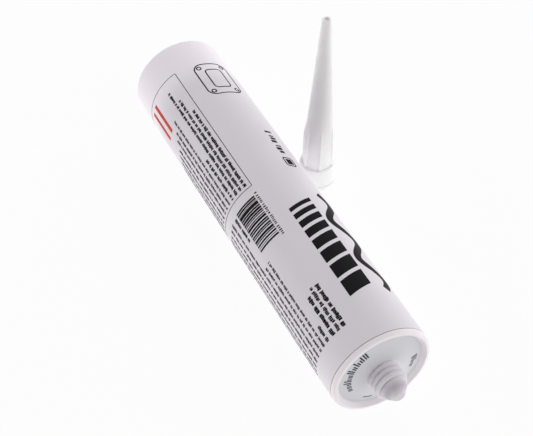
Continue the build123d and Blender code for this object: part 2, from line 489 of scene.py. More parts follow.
def white_polyethylene(size):
    """Moulded white HDPE of the barrel."""
    # Satin and slightly waxy: a soft broad sheen with a fine orange peel, and faint flow lines along the
    # tube. The base colour holds painted shade and painted light for light that goes into the wall: the tube
    # is painted greyer over the dark fill, lighter behind the piston and lightest in the solid lip.
    material, tree, output = new_material("white_hdpe_moulded")
    places = barrel_places(size)
    object_place = add_node(tree, "ShaderNodeTexCoord").outputs["Object"]
    parts = add_node(tree, "ShaderNodeSeparateXYZ", {"Vector": object_place}).outputs
    along = parts["Y"]
    across = add_node(tree, "ShaderNodeCombineXYZ", {"X": parts["X"], "Z": parts["Z"]}).outputs["Vector"]
    reach = add_node(tree, "ShaderNodeVectorMath", {
        0: across,
        1: (AXIS_X, 0, AXIS_Z),
    }, operation="DISTANCE").outputs["Value"]
    in_ring = add_node(tree, "ShaderNodeMapRange", {
        "Value": reach,
        "From Min": places.dish - RING_FADE[0],
        "From Max": places.dish + RING_FADE[1],
    }).outputs["Result"]
    on_skin = add_node(tree, "ShaderNodeMath", {
        0: reach,
        1: places.dish_mouth,
    }, operation="GREATER_THAN").outputs["Value"]
    groove = places.lip_y + size.lip_rounding + size.lip_land + size.groove_width / 2
    behind_groove = add_node(tree, "ShaderNodeMath", {
        0: along,
        1: groove,
    }, operation="GREATER_THAN").outputs["Value"]
    in_groove = add_node(tree, "ShaderNodeMath", {
        0: along,
        1: groove,
        2: size.groove_width / 2,
    }, operation="COMPARE").outputs["Value"]
    on_tube = add_node(tree, "ShaderNodeMath", {
        0: on_skin,
        1: behind_groove,
    }, operation="MULTIPLY").outputs["Value"]
    shaded = add_node(tree, "ShaderNodeMath", {
        0: on_skin,
        1: in_groove,
    }, operation="MULTIPLY").outputs["Value"]
    piston_front = PISTON_BACK - bpy.context.scene.cartridge_fill.piston_length
    # Painted shade over the fill, passing into painted light behind the piston's face
    tube = graded(
        tree,
        along,
        piston_front - PISTON_FADE[0],
        piston_front + PISTON_FADE[1],
        size.colour_painted_fill_shade,
        size.colour_painted_empty_light,
    )
    wall = graded(
        tree,
        reach,
        NECK_RADIUS,
        NECK_RADIUS + 2 * size.neck_root_rounding,
        size.colour_neck,
        size.colour_dish,
    )
    # Painted light in the lip's ring, painted shade and light along the tube, and painted shade in the groove
    layers = [
        (in_ring, rgba(size.colour_painted_lip_light)),
        (on_tube, tube),
        (shaded, rgba(size.colour_groove)),
    ]
    for share, hue in layers:
        wall = add_node(tree, "ShaderNodeMix", {
            "Factor": share,
            "A": wall,
            "B": hue,
        }, data_type="RGBA").outputs["Result"]
    cloud = add_node(tree, "ShaderNodeTexNoise", {
        "Vector": object_place,
        "Scale": 1 / (22 * MM),
        "Detail": 2.0,
    }).outputs["Fac"]
    sheen = add_node(tree, "ShaderNodeTexNoise", {
        "Vector": object_place,
        "Scale": 1 / (5 * MM),
        "Detail": 3.0,
    }).outputs["Fac"]
    peel = add_node(tree, "ShaderNodeTexNoise", {
        "Vector": object_place,
        "Scale": 1 / (0.9 * MM),
        "Detail": 1.0,
    }).outputs["Fac"]
    drawn = add_node(tree, "ShaderNodeMapping", {"Vector": object_place, "Scale": (1.0, 0.02, 1.0)})
    flow = add_node(tree, "ShaderNodeTexNoise", {
        "Vector": drawn.outputs["Vector"],
        "Scale": 1 / (1.5 * MM),
    }).outputs["Fac"]
    relief = add_node(tree, "ShaderNodeMath", {0: peel, 1: flow}, operation="ADD").outputs["Value"]
    bump = add_node(tree, "ShaderNodeBump", {
        "Height": relief,
        "Strength": 0.12,
        "Distance": 0.03 * MM,
    }).outputs["Normal"]
    close_surface(tree, output, sheen, 0.36, 0.48, {
        "Base Color": mottled(tree, wall, cloud, 0.96, 1.02),
        "Normal": bump,
        "IOR": 1.53,
    })
    return material


def thin_polyethylene(size):
    """Thin moulded white HDPE of the closed nose."""
    # Hazy: most light scatters in the wall and some goes through it, so the fill behind shows as a soft dark
    # core round the nose's shoulder, between lighter edges. The base colour adds painted shade to that core.
    material, tree, output = new_material("white_hdpe_thin_nose")
    places = barrel_places(size)
    object_place = add_node(tree, "ShaderNodeTexCoord").outputs["Object"]
    along = add_node(tree, "ShaderNodeSeparateXYZ", {"Vector": object_place}).outputs["Y"]
    # Painted shade of the fill, centred a little in front of the shoulder and fading over the core's reach
    core_middle = places.lip_y + places.shoulder - size.core_reach / 4
    ahead = add_node(tree, "ShaderNodeMath", {0: along, 1: core_middle}, operation="SUBTRACT")
    apart = add_node(tree, "ShaderNodeMath", {0: ahead.outputs["Value"]}, operation="ABSOLUTE")
    hue = graded(tree, apart.outputs["Value"], 0, size.core_reach, size.colour_painted_core_shade, size.colour_nose)
    haze = add_node(tree, "ShaderNodeTexNoise", {
        "Vector": object_place,
        "Scale": 1 / (3 * MM),
        "Detail": 2.0,
    }).outputs["Fac"]
    close_surface(tree, output, haze, 0.36, 0.48, {
        "Base Color": mottled(tree, hue, haze, 0.96, 1.02),
        "Subsurface Weight": 1.0,
        "Subsurface Radius": (1.0, 0.97, 1.0),
        "Subsurface Scale": 2.4 * MM,
        "Transmission Weight": size.nose_clearness,
        "IOR": 1.53,
    })
    return material


def natural_polyethylene(name, hue, spread, rise=None):
    """Moulded polyethylene without pigment, of one colour and one spread of light inside it.

    A rise gives two heights, and the colour and the spread that the plastic has from the upper one.
    """
    # Milky and waxy: light goes into the thin walls and comes out softened, so edges and thin stretches look
    # lighter and what lies behind a wall shows as a faint shadow. Thick stretches scatter more and look
    # whiter.
    material, tree, output = new_material(name)
    object_place = add_node(tree, "ShaderNodeTexCoord").outputs["Object"]
    milky = float(spread > 0)
    hue = tuple(hue)
    if rise:
        foot, top, top_hue, top_spread = rise
        height = add_node(tree, "ShaderNodeSeparateXYZ", {"Vector": object_place}).outputs["Z"]
        hue = graded(tree, height, foot, top, hue, top_hue)
        spread = add_node(tree, "ShaderNodeMapRange", {
            "Value": height,
            "From Min": foot,
            "From Max": top,
            "To Min": spread,
            "To Max": top_spread,
        }).outputs["Result"]
    cloud = add_node(tree, "ShaderNodeTexNoise", {
        "Vector": object_place,
        "Scale": 1 / (9 * MM),
        "Detail": 2.0,
    }).outputs["Fac"]
    wax = add_node(tree, "ShaderNodeTexNoise", {
        "Vector": object_place,
        "Scale": 1 / (1.6 * MM),
        "Detail": 2.0,
    }).outputs["Fac"]
    bump = add_node(tree, "ShaderNodeBump", {
        "Height": wax,
        "Strength": 0.15,
        "Distance": 0.04 * MM,
    }).outputs["Normal"]
    close_surface(tree, output, wax, 0.36, 0.5, {
        "Base Color": mottled(tree, hue, cloud, 0.97, 1.02),
        "Normal": bump,
        "Subsurface Weight": milky,
        "Subsurface Radius": (1.0, 0.96, 0.98),
        "Subsurface Scale": spread,
        "IOR": 1.51,
    })
    return material


def black_paste(hue):
    """Uncured filled silicone paste."""
    # Wet and nearly black, with soft lumps where it was pressed in.
    material, tree, output = new_material("black_silicone_paste")
    object_place = add_node(tree, "ShaderNodeTexCoord").outputs["Object"]
    lumps = add_node(tree, "ShaderNodeTexNoise", {
        "Vector": object_place,
        "Scale": 1 / (4 * MM),
        "Detail": 3.0,
    }).outputs["Fac"]
    bump = add_node(tree, "ShaderNodeBump", {
        "Height": lumps,
        "Strength": 0.3,
        "Distance": 0.2 * MM,
    }).outputs["Normal"]
    close_surface(tree, output, lumps, 0.18, 0.34, {"Base Color": rgba(hue), "Normal": bump})
    return material


def printed_ink(name, hue, grain):
    """Cured ink on plastic, screen printed or sprayed."""
    # Dense and a little more matt than the plastic, with the mesh's or the drops' grain in its tone. The
    # grain is drawn coarser than real so that it shows.
    material, tree, output = new_material(name)
    object_place = add_node(tree, "ShaderNodeTexCoord").outputs["Object"]
    spots = add_node(tree, "ShaderNodeTexNoise", {
        "Vector": object_place,
        "Scale": 1 / grain,
        "Detail": 2.0,
    }).outputs["Fac"]
    close_surface(tree, output, spots, 0.42, 0.58, {
        "Base Color": mottled(tree, tuple(hue), spots, 0.92, 1.35, start=0.35, end=0.75),
        "Specular IOR Level": 0.08,
    })
    return material


class CARTRIDGE_OT_barrel(bpy.types.Operator):
    """Models the moulded barrel with its lip, dish, threaded neck and closed nose"""

    bl_idname = "cartridge.make_barrel"
    bl_label = "Make barrel"

    def execute(self, context):
        size = context.scene.cartridge_barrel
        places = barrel_places(size)
        skin = OUTER_RADIUS - context.scene.cartridge_print.ink_thickness
        groove_front = size.lip_rounding + size.lip_land
        groove_back = groove_front + size.groove_width
        bore_floor = floor_station(size, places.bore) + size.floor_wall
        neck_floor = floor_station(size, size.neck_bore) + size.floor_wall
        corners = [
            (0, places.nose_end, 0),
            (places.nose_end_radius, places.nose_end, size.nose_end_rounding),
            (places.shoulder_radius, places.shoulder, size.nose_rounding),
            (places.nose_base, places.nose_start, 0),
            (NECK_RADIUS, places.neck_end, 0),
            (NECK_RADIUS, places.neck_root, size.neck_root_rounding),
            (places.dish, size.dish_depth, size.dish_corner_rounding),
            (places.dish_mouth, 0, size.lip_inner_rounding),
            (skin, 0, size.lip_rounding),
            (skin, groove_front, 0),
            (skin - size.groove_depth, (groove_front + groove_back) / 2, 0),
            (skin, groove_back, 0),
            (skin, places.back, size.rim_rounding),
            (places.bore + size.mouth_flare, places.back, 0),
            (places.bore, places.back - size.mouth_flare_depth, 0),
            (places.bore, bore_floor, 0),
            (size.neck_bore, neck_floor, 0),
            (size.neck_bore, places.nose_start, 0),
            (size.neck_bore, places.shoulder, 0),
            (places.nose_end_radius - size.nose_wall, places.nose_end + size.nose_wall, 0),
            (0, places.nose_end + size.nose_wall, 0),
        ]
        bm = bmesh.new()
        outline(bm, corners)
        divide(bm, places.neck_end, places.neck_root, NECK_RADIUS, NECK_RADIUS, THREAD_ROWS)
        divide(bm, places.nose_start, places.neck_end, places.nose_base, NECK_RADIUS, RUN_OUT_ROWS)
        divide(bm, places.shoulder, places.nose_start, places.shoulder_radius, places.nose_base, RUN_OUT_ROWS)
        turn(bm, BARREL_STEPS)
        for face in bm.faces:
            face.material_index = int(face.calc_center_median().z < places.nose_start)
        cut_thread(
            bm,
            places.shoulder_radius,
            NECK_RADIUS + size.neck_root_rounding,
            places.nose_start - size.thread_fade,
            places.neck_root + size.thread_fade,
            size.thread_pitch,
            size.thread_depth,
            size.thread_fade,
            -size.thread_valley,
            UPPER_SIDE,
        )
        bm.transform(laid_down(size))
        plastic = white_polyethylene(size)
        shell = finish_piece("barrel_shell", bm, plastic, "cartridge", "barrel")
        shell.data.materials.append(thin_polyethylene(size))
        return {"FINISHED"}


def drawn_in(height, collar_height, cone_start, stem_draft, cone_slope):
    """How far the skin of the stem and the cone has drawn in at a height."""
    stem_share = (height - collar_height) / (cone_start - collar_height)
    return stem_draft * min(1.0, stem_share) + cone_slope * max(0.0, height - cone_start)


class CARTRIDGE_OT_nozzle(bpy.types.Operator):
    """Models the hollow nozzle with its flanged collar, inner thread, finned stem and cone"""

    bl_idname = "cartridge.make_nozzle"
    bl_label = "Make nozzle"

    def execute(self, context):
        size = context.scene.cartridge_nozzle
        pitch = context.scene.cartridge_barrel.thread_pitch
        collar_top = SOCKET_RADIUS + size.collar_wall
        collar_height = SOCKET_DEPTH + size.collar_top_wall
        collar_foot = collar_top + size.collar_draft
        flange = collar_foot + size.flange_width
        stem = collar_top - size.ledge_width
        cone_start = collar_height + size.stem_length
        cone = stem - size.stem_draft
        orifice = size.tip_radius - size.tip_wall
        shoulder = collar_height + size.fin_straight
        fin_end = shoulder + size.fin_top
        cone_slope = (cone - size.tip_radius) / (NOZZLE_HEIGHT - cone_start)
        fin_end_radius = cone - cone_slope * (fin_end - cone_start)
        corners = [
            (flange, 0, size.flange_rounding),
            (flange, size.flange_height, size.flange_rounding),
            (collar_foot, size.flange_height, 0),
            (collar_top, collar_height, size.collar_rounding),
            (stem, collar_height, 0),
            (cone, cone_start, 0),
            (fin_end_radius, fin_end, 0),
            (size.tip_radius, NOZZLE_HEIGHT, size.tip_rounding),
            (orifice, NOZZLE_HEIGHT, 0),
            (orifice, NOZZLE_HEIGHT - size.tip_land, 0),
            (cone - size.wall, cone_start, 0),
            (stem - size.wall, SOCKET_DEPTH, 0),
            (SOCKET_RADIUS, SOCKET_DEPTH, 0),
            (SOCKET_RADIUS, 0, 0),
        ]
        bm = bmesh.new()
        outline(bm, corners, closed=True)
        divide(bm, collar_height, cone_start, cone, stem, FIN_ROWS)
        divide(bm, cone_start, fin_end, fin_end_radius, cone, FIN_ROWS)
        divide(bm, 0, SOCKET_DEPTH, SOCKET_RADIUS, SOCKET_RADIUS, THREAD_ROWS)
        turn(bm, NOZZLE_STEPS)
        cut_thread(
            bm,
            SOCKET_RADIUS,
            SOCKET_RADIUS,
            0,
            SOCKET_DEPTH,
            pitch,
            size.thread_depth,
            pitch / 2,
            pitch,
            0,
        )
        fin_radius = collar_top - size.fin_setback
        fin_step = math.tau / size.fin_count
        lead = size.fin_top / 3
        for vert in bm.verts:
            radius = vert.co.xy.length
            on_stem = collar_height - MERGE_DISTANCE < vert.co.z < fin_end - MERGE_DISTANCE
            skin = stem - drawn_in(vert.co.z, collar_height, cone_start, size.stem_draft, cone_slope)
            if on_stem and abs(radius - skin) < MERGE_DISTANCE:
                drop = max(0.0, (vert.co.z - shoulder + lead) / (size.fin_top + lead))
                edge = fin_radius - (fin_radius - fin_end_radius) * drop ** 2
                turned = math.atan2(vert.co.y, vert.co.x) - size.fin_phase
                off = abs((turned + fin_step / 2) % fin_step - fin_step / 2) * radius
                share = eased((size.fin_thickness / 2 + size.fin_flank / 2 - off) / size.fin_flank)
                set_radius(vert, radius + max(0.0, edge - radius) * share)
        bm.transform(Matrix.Translation((NOZZLE_X, NOZZLE_Y, 0)))
        plastic = natural_polyethylene(
            "natural_ldpe_nozzle",
            size.colour_thick,
            size.spread_thick,
            (collar_height, fin_end + 2 * size.fin_top, size.colour_thin, size.spread_thin),
        )
        finish_piece("nozzle_cone", bm, plastic, "cartridge", "nozzle")
        return {"FINISHED"}


class CARTRIDGE_OT_piston(bpy.types.Operator):
    """Gives the piston in the barrel's back its plastic"""

    bl_idname = "cartridge.finish_piston"
    bl_label = "Finish piston"

    def execute(self, context):
        hue = context.scene.cartridge_fill.piston_colour
        frame["nodes"]["piston"].data.materials[0] = natural_polyethylene("natural_pe_piston", hue, 0.0)
        return {"FINISHED"}


class CARTRIDGE_OT_fill(bpy.types.Operator):
    """Models the paste that fills the barrel from the nose to the piston"""

    bl_idname = "cartridge.make_fill"
    bl_label = "Make fill"

    def execute(self, context):
        size = context.scene.cartridge_barrel
        fit = context.scene.cartridge_fill
        places = barrel_places(size)
        paste = places.bore - fit.clearance
        core = size.neck_bore - fit.clearance
        nose = places.nose_end_radius - size.nose_wall - fit.clearance
        nose_front = places.nose_end + size.nose_wall + fit.clearance
        inside = size.floor_wall + fit.clearance
        wall_front = floor_station(size, paste) + inside
        piston_front = PISTON_BACK - places.lip_y - fit.piston_length
        back_shift = piston_front - fit.piston_gap - floor_station(size, places.bore)
        wall_back = floor_station(size, paste) + back_shift
        crown_back = floor_station(size, fit.crown_radius) + back_shift
        bm = bmesh.new()
        outline(bm, [
            (0, nose_front, 0),
            (nose, nose_front, 0),
            (core, places.shoulder + fit.clearance, 0),
            (core, floor_station(size, core) + inside, 0),
            (paste, wall_front, 0),
            (paste, wall_back, 0),
            (fit.crown_radius, crown_back, 0),
            (0, crown_back, 0),
        ])
        turn(bm, BARREL_STEPS)
        bm.transform(laid_down(size))
        paste_piece = finish_piece(
            "paste_fill",
            bm,
            black_paste(fit.paste_colour),
            None,
            "sealant",
        )
        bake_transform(paste_piece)
        return {"FINISHED"}


# Print, with places in millimetres: station from the lip and arc from the top line

# Rows of small marks: middle arc, first station, last station, height, and share of the row that is ink
SIDE_ROWS = [
    *((arc, 15.5, 104.7, 1.6, 0.8) for arc in (-49.3, -46.0, -42.9, -39.7, -36.3, -33.0)),
    (-29.7, 15.5, 71.0, 1.6, 0.8),
    (-26.5, 15.5, 71.0, 1.6, 0.8),
    (-23.3, 15.5, 25.0, 2.0, 0.86),
    (-19.3, 15.5, 40.0, 2.3, 0.92),
    (-16.1, 15.5, 43.0, 2.0, 0.86),
    (-13.0, 15.5, 42.0, 2.3, 0.92),
    (-29.0, 88.0, 105.5, 1.9, 0.86),
]
FRAMED_ROWS = [
    (-50.6, 112.5, 160.0, 1.5, 0.8),
    (-47.7, 112.5, 160.0, 1.5, 0.8),
    (-44.7, 112.5, 162.0, 1.5, 0.8),
    (-41.7, 112.5, 164.0, 1.5, 0.8),
    (-38.7, 112.5, 166.0, 1.5, 0.8),
    (-35.7, 112.5, 167.0, 1.5, 0.8),
    (-32.5, 112.5, 171.0, 1.5, 0.8),
    (-29.7, 112.5, 175.0, 1.5, 0.8),
    (-26.7, 112.5, 180.0, 1.5, 0.8),
    (-23.5, 112.5, 144.0, 1.8, 0.86),
    (-20.3, 112.5, 195.5, 1.8, 0.86),
    (-17.5, 112.5, 186.0, 1.8, 0.86),
    (-14.5, 112.5, 174.0, 1.9, 0.88),
]
TICK_ROW = (-12.1, 76.0, 107.0, 1.7, 0.5)

# Marks of a row: how many stand in a group, and, as shares of the row's height, their widths, their reach
# above and below the row's middle, and the gap between groups
GROUP_COUNTS = (2, 9)
MARK_WIDTHS = (0.22, 0.5)
MARK_TOPS = (0.32, 0.36, 0.5)
MARK_BOTTOMS = (0.36, 0.36, 0.5)
GROUP_GAP = 0.42

# Rectangles: first station, last station, first arc, last arc
FRAME_BOX = (110.5, 203.3, -56.0, -11.3)
BAR_BLOCK_BOX = (77.7, 105.5, -26.8, -13.5)
RED_BARS = [
    (178.0, 200.0, -33.2, -31.0),
    (178.0, 200.0, -38.4, -36.2),
]

# Bars of the block: their unit, and their widths and gaps in units
BAR_UNIT = 0.34
BAR_WIDTHS = (1, 2, 3, 3, 4, 6)
BAR_GAPS = (1, 1, 1, 2)

# Bold band of slanted bars, from wide to narrow, and a wavy bead beside it
BAND_BOX = (27.0, 94.7, -3.5, 9.8)
BAND_WIDTHS = [9.5, 8.2, 7.0, 5.9, 4.9, 4.0, 3.2, 2.5]
BAND_GAP = 2.1
BAND_SLANT_SHARE = 0.32
BEAD_BOX = (28.0, 95.0, 11.5, 24.0)
BEAD_STROKE = 4.2
BEAD_WAVES = 2.5
BEAD_SEGMENTS = 96

# Colour patch with a short row beside it, and the outline of a gasket with its bolt holes
PATCH_BOX = (115.5, 122.5, 11.2, 17.6)
PATCH_LINE = 0.7
CAPTION_ROW = (14.4, 126.0, 145.0, 4.2, 0.72)
GASKET_BOX = (176.0, 202.0, -2.5, 17.5)
GASKET_CORNER = 5.0
GASKET_LINE = 0.7
GASKET_BORDER = 5.0
GASKET_HOLE = 1.5
RING_SEGMENTS = 32


def add_bar(bm, first, last, low, high, slant=0.0):
    """Flat rectangle, or a slanted one, between two stations and two arcs in millimetres."""
    square = bmesh.ops.create_grid(bm, x_segments=1, y_segments=1, size=0.5)["verts"]
    for vert in square:
        along = first + (last - first) * (vert.co.x + 0.5) + slant * vert.co.y
        across = low + (high - low) * (vert.co.y + 0.5)
        vert.co = (along * MM, across * MM, 0)


def add_row(bm, row, chance):
    """Row of small upright marks, in groups of chance lengths."""
    arc, first, last, height, ink_share = row
    place = first
    while place < last:
        for _ in range(chance.randint(*GROUP_COUNTS)):
            width = height * chance.uniform(*MARK_WIDTHS)
            top = height * chance.choice(MARK_TOPS)
            bottom = height * chance.choice(MARK_BOTTOMS)
            if place + width > last:
                return
            add_bar(bm, place, place + width, arc - top, arc + bottom)
            place += width / ink_share
        place += height * GROUP_GAP


def add_loop(bm, box, corner):
    """Wire round a rectangle with rounded corners, in millimetres."""
    first, last, low, high = box
    places = [(first, low), (last, low), (last, high), (first, high)]
    verts = [bm.verts.new((along * MM, across * MM, 0)) for along, across in places]
    for number in range(len(verts)):
        bm.edges.new((verts[number - 1], verts[number]))
    bmesh.ops.bevel(
        bm,
        geom=verts,
        offset=corner * MM,
        offset_type="OFFSET",
        segments=CORNER_SEGMENTS,
        profile=0.5,
        affect="VERTICES",
        material=-1,
    )


def add_outline_band(bm, box, corner, line):
    """Line of one width round a rectangle with rounded corners."""
    first, last, low, high = box
    inner = (first + line, last - line, low + line, high - line)
    add_loop(bm, box, corner)
    add_loop(bm, inner, corner - line)
    bmesh.ops.bridge_loops(bm, edges=[edge for edge in bm.edges if edge.is_wire])


def add_ring(bm, along, across, radius, line):
    """Ring round a point, in millimetres."""
    place = Matrix.Translation((along * MM, across * MM, 0))
    for reach in (radius, radius - line):
        bmesh.ops.create_circle(bm, segments=RING_SEGMENTS, radius=reach * MM, matrix=place)
    bmesh.ops.bridge_loops(bm, edges=[edge for edge in bm.edges if edge.is_wire])


def slice_sheet(bm, place, direction):
    """Cuts a flat sheet of print at a place, across a direction."""
    everything = bm.verts[:] + bm.edges[:] + bm.faces[:]
    bmesh.ops.bisect_plane(bm, geom=everything, plane_co=place, plane_no=direction)


def raise_ink(bm, thickness):
    """Makes a flat sheet of print twice as thick as the ink, so that it can sit half sunk in its ground."""
    raised = bmesh.ops.extrude_face_region(bm, geom=bm.faces[:])["geom"]
    tops = [part for part in raised if isinstance(part, bmesh.types.BMVert)]
    bmesh.ops.translate(bm, verts=tops, vec=(0, 0, 2 * thickness))


def wrap_print(bm, thickness, lip_y):
    """Cuts flat print into strips, gives it the ink's thickness and wraps it round the barrel."""
    arcs = [vert.co.y for vert in bm.verts]
    cut = PRINT_CUT * math.floor(min(arcs) / PRINT_CUT)
    while cut < max(arcs):
        slice_sheet(bm, (0, cut, 0), (0, 1, 0))
        cut += PRINT_CUT
    raise_ink(bm, thickness)
    for vert in bm.verts:
        station, arc, height = vert.co
        turned = arc / OUTER_RADIUS
        reach = OUTER_RADIUS - 2 * thickness + height
        vert.co = (AXIS_X + reach * math.sin(turned), lip_y + station, AXIS_Z + reach * math.cos(turned))
    bmesh.ops.recalc_face_normals(bm, faces=bm.faces)


class CARTRIDGE_OT_print(bpy.types.Operator):
    """Prints rows of small marks, bars, a bold band and line drawings on the barrel"""

    bl_idname = "cartridge.print_barrel"
    bl_label = "Print barrel"

    def execute(self, context):
        ink = context.scene.cartridge_print
        lip_y = barrel_places(context.scene.cartridge_barrel).lip_y
        chance = random.Random(ink.seed)
        black = printed_ink("black_ink_screen_printed", ink.black, SCREEN_GRAIN)
        red = printed_ink("red_ink_screen_printed", ink.red, SCREEN_GRAIN)
        sheets = {
            "print_side_rows": (self.side_rows, black),
            "print_framed_rows": (self.framed_rows, black),
            "print_bar_block": (self.bar_block, black),
            "print_bold_band": (self.bold_band, black),
            "print_wavy_bead": (self.wavy_bead, black),
            "print_colour_patch": (self.colour_patch, black),
            "print_gasket_drawing": (self.gasket_drawing, black),
            "print_red_bars": (self.red_bars, red),
        }
        for name, (draw, material) in sheets.items():
            bm = bmesh.new()
            draw(bm, ink, chance)
            wrap_print(bm, ink.ink_thickness, lip_y)
            finish_piece(name, bm, material, "cartridge")
        return {"FINISHED"}

    def side_rows(self, bm, ink, chance):
        """Long and short rows in front of the frame."""
        for row in SIDE_ROWS:
            add_row(bm, row, chance)

    def framed_rows(self, bm, ink, chance):
        """Rows inside a thin frame."""
        for row in FRAMED_ROWS:
            add_row(bm, row, chance)
        add_outline_band(bm, FRAME_BOX, 2 * ink.keyline_width / MM, ink.keyline_width / MM)

    def bar_block(self, bm, ink, chance):
        """Block of bars of chance widths, with a row of ticks along it."""
        first, last, low, high = BAR_BLOCK_BOX
        place = first
        while place < last:
            width = BAR_UNIT * chance.choice(BAR_WIDTHS)
            add_bar(bm, place, min(last, place + width), low, high)
            place += width + BAR_UNIT * chance.choice(BAR_GAPS)
        add_row(bm, TICK_ROW, chance)

    def bold_band(self, bm, ink, chance):
        """Slanted bars side by side, from wide to narrow."""
        first, last, low, high = BAND_BOX
        slant = BAND_SLANT_SHARE * (high - low)
        place = first + slant / 2
        for width in BAND_WIDTHS:
            add_bar(bm, place, place + width, low, high, slant)
            place += width + BAND_GAP

    def wavy_bead(self, bm, ink, chance):
        """Strip of even width along a wave."""
        first, last, low, high = BEAD_BOX
        strip = bmesh.ops.create_grid(bm, x_segments=BEAD_SEGMENTS, y_segments=1, size=0.5)["verts"]
        swing = (high - low - BEAD_STROKE) / 2
        for vert in strip:
            share = vert.co.x + 0.5
            turned = math.tau * BEAD_WAVES * share
            slope = swing * math.tau * BEAD_WAVES / (last - first) * math.cos(turned)
            across = (low + high) / 2 + swing * math.sin(turned)
            side = BEAD_STROKE * vert.co.y / math.hypot(1, slope)
            along = first + (last - first) * share
            vert.co = ((along - slope * side) * MM, (across + side) * MM, 0)

    def colour_patch(self, bm, ink, chance):
        """Small framed field of colour with a short row beside it."""
        add_outline_band(bm, PATCH_BOX, 2 * PATCH_LINE, PATCH_LINE)
        first, last, low, high = PATCH_BOX
        inset = 2 * PATCH_LINE
        add_bar(bm, first + inset, last - inset, low + inset, high - inset)
        add_row(bm, CAPTION_ROW, chance)

    def gasket_drawing(self, bm, ink, chance):
        """Outline of a flat gasket with a bolt hole at each corner."""
        first, last, low, high = GASKET_BOX
        add_outline_band(bm, GASKET_BOX, GASKET_CORNER, GASKET_LINE)
        border = GASKET_BORDER
        add_outline_band(
            bm,
            (first + border, last - border, low + border, high - border),
            GASKET_CORNER / 2,
            GASKET_LINE,
        )
        for along in (first + border / 2 + GASKET_LINE, last - border / 2 - GASKET_LINE):
            for across in (low + border / 2 + GASKET_LINE, high - border / 2 - GASKET_LINE):
                add_ring(bm, along, across, GASKET_HOLE, GASKET_LINE)

    def red_bars(self, bm, ink, chance):
        """Two short bars."""
        for box in RED_BARS:
            add_bar(bm, *box)


# Sprayed marks on the dish: radius of their middle, height and stroke in millimetres, and runs of pairs as
# the angles, in degrees from +X towards +Z, over which they go and how many there are
SPRAY_RADIUS = 17.0
SPRAY_HEIGHT = 3.4
SPRAY_STROKE = 0.7
SPRAY_RUNS = [
    (118.0, 206.0, 10),
    (340.0, 366.0, 3),
]

# Places of a pair's two dashes as shares of its step, and the shares of the height that a dash may have
PAIR_PLACES = (0.12, 0.56)
PAIR_HEIGHTS = (0.6, 1.0)

# One dash along the dish's edge, and the angles at which the marks are cut so that they can bend
DASH_RUN = (243.0, 259.0)
DASH_RADIUS = 17.2
SPRAY_CUTS = range(0, 400, 4)


class CARTRIDGE_OT_head_marks(bpy.types.Operator):
    """Sprays a run of short dashes on the dish of the barrel's head"""

    bl_idname = "cartridge.mark_head"
    bl_label = "Mark head"

    def execute(self, context):
        size = context.scene.cartridge_barrel
        ink = context.scene.cartridge_print
        lip_y = barrel_places(size).lip_y
        chance = random.Random(ink.seed)
        bm = bmesh.new()
        for start, end, count in SPRAY_RUNS:
            step = (end - start) / count
            for number in range(count):
                self.add_pair(bm, start + step * number, step, chance)
        half = SPRAY_STROKE / 2
        add_bar(bm, *DASH_RUN, DASH_RADIUS - half, DASH_RADIUS + half)
        for cut in SPRAY_CUTS:
            slice_sheet(bm, (cut * MM, 0, 0), (1, 0, 0))
        raise_ink(bm, ink.ink_thickness)
        for vert in bm.verts:
            turned = math.radians(vert.co.x / MM)
            radius = vert.co.y
            station = floor_station(size, radius) + ink.ink_thickness - vert.co.z
            across = radius * math.cos(turned)
            up = radius * math.sin(turned)
            vert.co = (AXIS_X + across, lip_y + station, AXIS_Z + up)
        bmesh.ops.recalc_face_normals(bm, faces=bm.faces)
        sprayed = printed_ink("grey_ink_sprayed", ink.sprayed, SPRAY_GRAIN)
        finish_piece("head_code_marks", bm, sprayed, "cartridge")
        return {"FINISHED"}

    def add_pair(self, bm, start, step, chance):
        """Two upright dashes, laid flat as (degrees, radius)."""
        stroke = math.degrees(SPRAY_STROKE / SPRAY_RADIUS)
        low = SPRAY_RADIUS - SPRAY_HEIGHT / 2
        for share in PAIR_PLACES:
            place = start + share * step
            high = low + SPRAY_HEIGHT * chance.choice(PAIR_HEIGHTS)
            add_bar(bm, place, place + stroke, low, high)


# Share of plain white in the floor that the camera sees. The rest takes the object's shadow.
FLOOR_WHITE_SHARE = 0.93


def shown_plain(tree):
    """Share that is 1 for what the camera, gloss and clear plastic see, and 0 for all other light."""
    paths = add_node(tree, "ShaderNodeLightPath").outputs
    seen = add_node(tree, "ShaderNodeMath", {
        0: paths["Is Camera Ray"],
        1: paths["Is Glossy Ray"],
    }, operation="MAXIMUM").outputs["Value"]
    return add_node(tree, "ShaderNodeMath", {
        0: seen,
        1: paths["Is Transmission Ray"],
    }, operation="MAXIMUM").outputs["Value"]


def white_floor(stage):
    """Frosted white light table."""
    # The camera, gloss and clear plastic see it as plain white with a little of the object's shadow, and to
    # everything else it gives soft light from below.
    material, tree, output = new_material("white_acrylic_light_table")
    hue = rgba(stage.floor_colour)
    matt = add_node(tree, "ShaderNodeBsdfDiffuse", {"Color": hue}).outputs["BSDF"]
    white = add_node(tree, "ShaderNodeEmission", {"Color": hue, "Strength": 1.0}).outputs["Emission"]
    light = add_node(tree, "ShaderNodeEmission", {"Color": hue, "Strength": stage.floor_light})
    even = add_node(tree, "ShaderNodeMixShader", {0: FLOOR_WHITE_SHARE, 1: matt, 2: white})
    surface = add_node(tree, "ShaderNodeMixShader", {
        0: shown_plain(tree),
        1: light.outputs["Emission"],
        2: even.outputs["Shader"],
    })
    tree.links.new(surface.outputs["Shader"], output.inputs["Surface"])
    return material


def direction_of(azimuth, elevation):
    """Unit vector towards an azimuth, where 0 is the front, and an elevation."""
    flat = math.cos(elevation)
    return Vector((math.sin(azimuth) * flat, -math.cos(azimuth) * flat, math.sin(elevation)))


